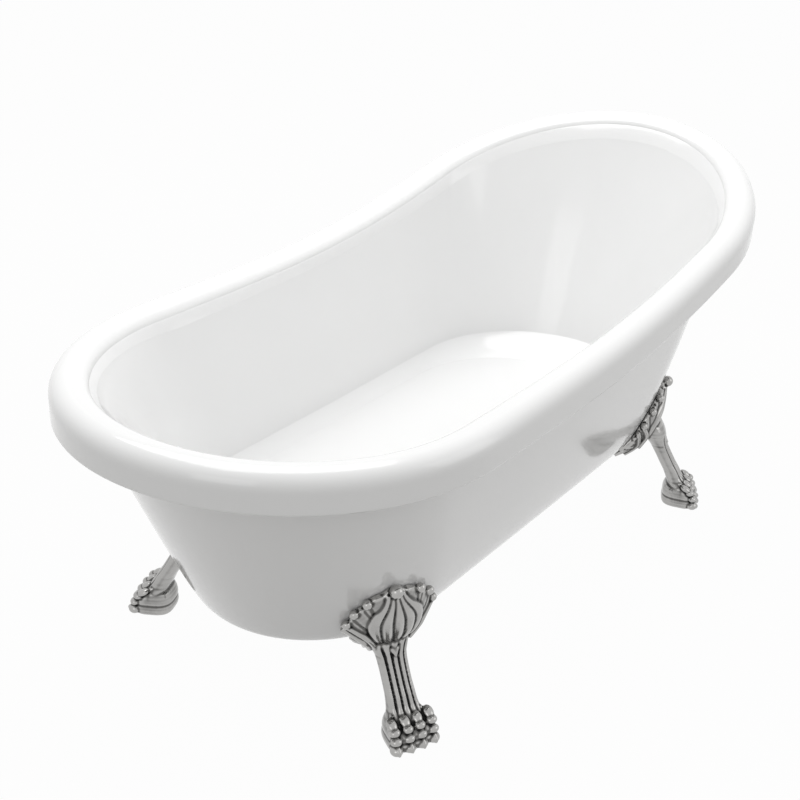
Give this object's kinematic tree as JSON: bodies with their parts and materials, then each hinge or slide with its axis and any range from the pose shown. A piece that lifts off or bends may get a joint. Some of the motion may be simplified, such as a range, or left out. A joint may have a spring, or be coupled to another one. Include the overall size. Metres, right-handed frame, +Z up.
{
  "type": "clawfoot bathtub",
  "caption": "Freestanding slipper bath with a high sloped backrest, rolled rim, smooth white shell and fluted claw feet with leaf crowns, with pop-up waste and turning overflow knob",
  "frame": {"origin": "on the floor under the middle of the bath", "axes": "+X runs to the high backrest end, +Y to the bather's right and +Z up"},
  "size_m": [1.7, 0.775, 0.772],
  "materials": {
    "gloss_white_acrylic": "smooth glossy white sheet",
    "brushed_nickel_casting": "polished casting with a bright satin sheen",
    "chrome_trim": "mirror-bright chrome",
    "zinc_steel": "plain zinc-plated steel",
    "black_rubber": "matt black rubber",
    "board_wood": "plain sealed board",
    "white_pipe_plastic": "plain white plastic",
    "black_pad_plastic": "matt black nylon",
    "cable_sheath": "matt dark sheath"
  },
  "bodies": {
    "tub": {"base_board": "board_wood", "basin": "gloss_white_acrylic", "claw_foot_high_left": "brushed_nickel_casting", "claw_foot_high_right": "brushed_nickel_casting", "claw_foot_low_left": "brushed_nickel_casting", "claw_foot_low_right": "brushed_nickel_casting", "control_cable": "cable_sheath", "cross_rail_high": "zinc_steel", "cross_rail_low": "zinc_steel", "foot_bolts": "zinc_steel", "foot_plate_high_left": "zinc_steel", "foot_plate_high_right": "zinc_steel", "foot_plate_low_left": "zinc_steel", "foot_plate_low_right": "zinc_steel", "outer_skirt": "gloss_white_acrylic", "overflow_body": "white_pipe_plastic", "overflow_flange": "chrome_trim", "overflow_pipe": "white_pipe_plastic", "overflow_seal": "black_rubber", "pipe_nuts": "white_pipe_plastic", "rail_screws": "zinc_steel", "tail_nut": "white_pipe_plastic", "waste_body": "white_pipe_plastic", "waste_flange": "chrome_trim", "waste_gasket": "black_rubber", "waste_seal": "black_rubber", "waste_tail": "chrome_trim"},
    "plug": {"popup_plug": "chrome_trim", "plug_seal": "black_rubber"},
    "knob": {"overflow_knob": "chrome_trim", "overflow_shaft": "zinc_steel"},
    "pad_low_left": {"levelling_pad_low_left": "black_pad_plastic"},
    "stud_low_left": {"levelling_stud_low_left": "zinc_steel"},
    "pad_low_right": {"levelling_pad_low_right": "black_pad_plastic"},
    "stud_low_right": {"levelling_stud_low_right": "zinc_steel"},
    "pad_high_left": {"levelling_pad_high_left": "black_pad_plastic"},
    "stud_high_left": {"levelling_stud_high_left": "zinc_steel"},
    "pad_high_right": {"levelling_pad_high_right": "black_pad_plastic"},
    "stud_high_right": {"levelling_stud_high_right": "zinc_steel"}
  },
  "joints": [
    {"name": "pad_drop_low_left", "type": "slide", "parent": "tub", "child": "pad_low_left", "axis": [0, 0, -1], "range_m": [0, 0.015]},
    {"name": "stud_turn_low_left", "type": "hinge", "parent": "pad_low_left", "child": "stud_low_left", "pos_m": [-0.49685, -0.28741, 0.02], "axis": [0, 0, 1], "range_deg": [0, 3600]},
    {"name": "pad_drop_low_right", "type": "slide", "parent": "tub", "child": "pad_low_right", "axis": [0, 0, -1], "range_m": [0, 0.015]},
    {"name": "stud_turn_low_right", "type": "hinge", "parent": "pad_low_right", "child": "stud_low_right", "pos_m": [-0.49685, 0.28741, 0.02], "axis": [0, 0, 1], "range_deg": [0, 3600]},
    {"name": "pad_drop_high_left", "type": "slide", "parent": "tub", "child": "pad_high_left", "axis": [0, 0, -1], "range_m": [0, 0.015]},
    {"name": "stud_turn_high_left", "type": "hinge", "parent": "pad_high_left", "child": "stud_high_left", "pos_m": [0.51957, -0.3047, 0.02], "axis": [0, 0, 1], "range_deg": [0, 3600]},
    {"name": "pad_drop_high_right", "type": "slide", "parent": "tub", "child": "pad_high_right", "axis": [0, 0, -1], "range_m": [0, 0.015]},
    {"name": "stud_turn_high_right", "type": "hinge", "parent": "pad_high_right", "child": "stud_high_right", "pos_m": [0.51957, 0.3047, 0.02], "axis": [0, 0, 1], "range_deg": [0, 3600]},
    {"name": "knob_turn", "type": "hinge", "parent": "tub", "child": "knob", "pos_m": [-0.73286, 0, 0.525], "axis": [0.7936, 0, 0.6085], "range_deg": [0, 100]},
    {"name": "plug_lift", "type": "slide", "parent": "tub", "child": "plug", "axis": [0, 0, 1], "range_m": [0, 0.01]}
  ],
  "couplings": [
    {"joint": "stud_turn_low_left", "follows": "pad_drop_low_left", "rad_per_m": 4188.8},
    {"joint": "stud_turn_low_right", "follows": "pad_drop_low_right", "rad_per_m": 4188.8},
    {"joint": "stud_turn_high_left", "follows": "pad_drop_high_left", "rad_per_m": 4188.8},
    {"joint": "stud_turn_high_right", "follows": "pad_drop_high_right", "rad_per_m": 4188.8},
    {"joint": "plug_lift", "follows": "knob_turn", "m_per_rad": 0.0057}
  ]
}
